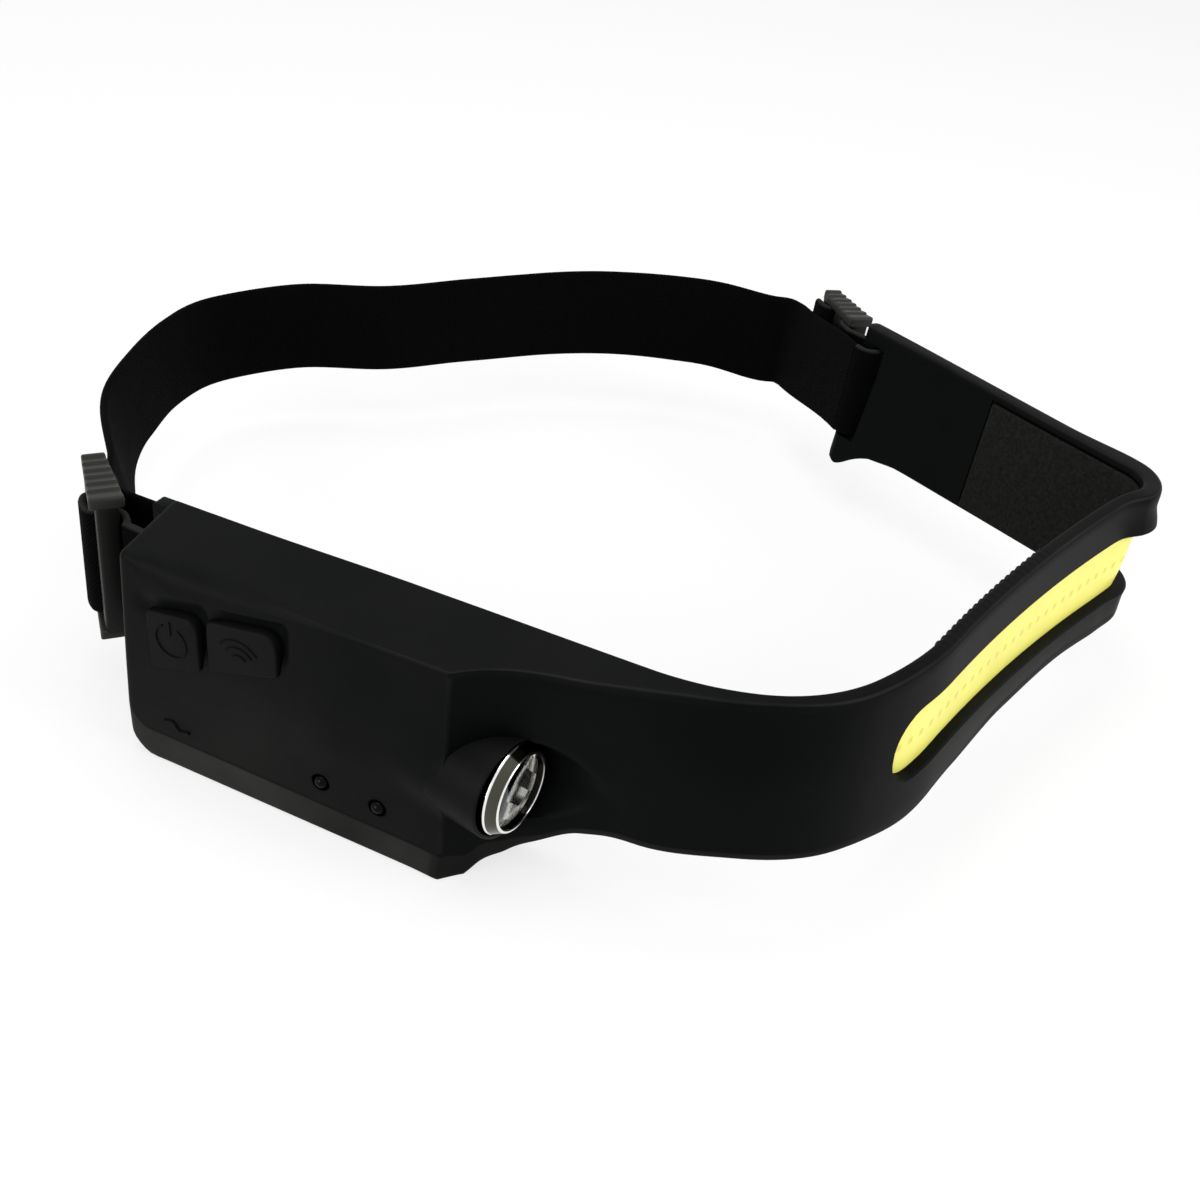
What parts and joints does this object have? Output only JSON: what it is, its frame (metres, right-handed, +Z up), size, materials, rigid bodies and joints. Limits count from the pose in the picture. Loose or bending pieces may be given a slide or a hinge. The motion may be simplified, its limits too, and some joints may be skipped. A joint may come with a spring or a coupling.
{
  "type": "headlamp",
  "caption": "Silicone headlamp: front band with a recessed wide light strip, battery box with keys and a spot lamp at one temple, elastic rear strap on sliding buckles.",
  "frame": {"origin": "middle of the bounding box in plan, on the surface that the battery box stands on", "axes": "+X to the wearer's left, +Y to the back of the head, +Z up"},
  "size_m": [0.1924, 0.1697, 0.04],
  "materials": {
    "silicone": "matte",
    "pad": "rough",
    "case": "matte",
    "steel": "satin",
    "cell": "satin",
    "wire": "satin",
    "board": "satin",
    "dome": "gloss",
    "chrome": "polished",
    "lens": "clear",
    "reflector": "polished",
    "core_board": "satin",
    "strip": "matte",
    "phosphor": "satin",
    "webbing": "woven",
    "buckle": "matte"
  },
  "bodies": {
    "headlamp": {"headband": "silicone", "temple_pad": "pad", "inner_case": "case", "rear_cover": "case", "cover_screw_1": "steel", "cover_screw_2": "steel", "cover_screw_3": "steel", "cover_screw_4": "steel", "battery": "cell", "battery_leads": "wire", "main_board": "board", "power_switch": "steel", "sensor_switch": "steel", "ir_emitter": "dome", "ir_receiver": "dome", "charge_socket": "steel", "lamp_bezel": "chrome", "lamp_lens": "lens", "lamp_seal": "silicone", "lamp_reflector": "reflector", "lamp_led": "phosphor", "lamp_board": "core_board", "lamp_leads": "wire", "strip_board": "strip", "strip_chips": "phosphor", "strip_phosphor": "phosphor", "rear_strap": "webbing", "left_strap_loop": "webbing", "right_strap_loop": "webbing"},
    "power_key": {"power_button": "silicone"},
    "sensor_key": {"sensor_button": "silicone"},
    "flap": {"port_flap": "silicone"},
    "left_slider": {"left_buckle": "buckle"},
    "right_slider": {"right_buckle": "buckle"}
  },
  "joints": [
    {"name": "power_press", "type": "slide", "parent": "headlamp", "child": "power_key", "axis": [0.3665, 0.9304, 0], "range_m": [0, 0.0006], "stiffness_N_per_m": 1500, "springref_m": -0.0005},
    {"name": "sensor_press", "type": "slide", "parent": "headlamp", "child": "sensor_key", "axis": [0.3665, 0.9304, 0], "range_m": [0, 0.0006], "stiffness_N_per_m": 1500, "springref_m": -0.0005},
    {"name": "flap_swing", "type": "hinge", "parent": "headlamp", "child": "flap", "pos_m": [-0.05911, -0.05326, 0.001], "axis": [0.9304, -0.3665, 0], "range_deg": [0, 100], "stiffness_Nm_per_rad": 0.002, "springref_deg": -11.46},
    {"name": "left_buckle_slide", "type": "slide", "parent": "headlamp", "child": "left_slider", "axis": [-0.4462, 0.8949, 0], "range_m": [0, 0.012], "deforming": ["left_strap_loop"]},
    {"name": "right_buckle_slide", "type": "slide", "parent": "headlamp", "child": "right_slider", "axis": [-0.3746, 0.9272, 0], "range_m": [0, 0.006], "deforming": ["right_strap_loop"]}
  ]
}
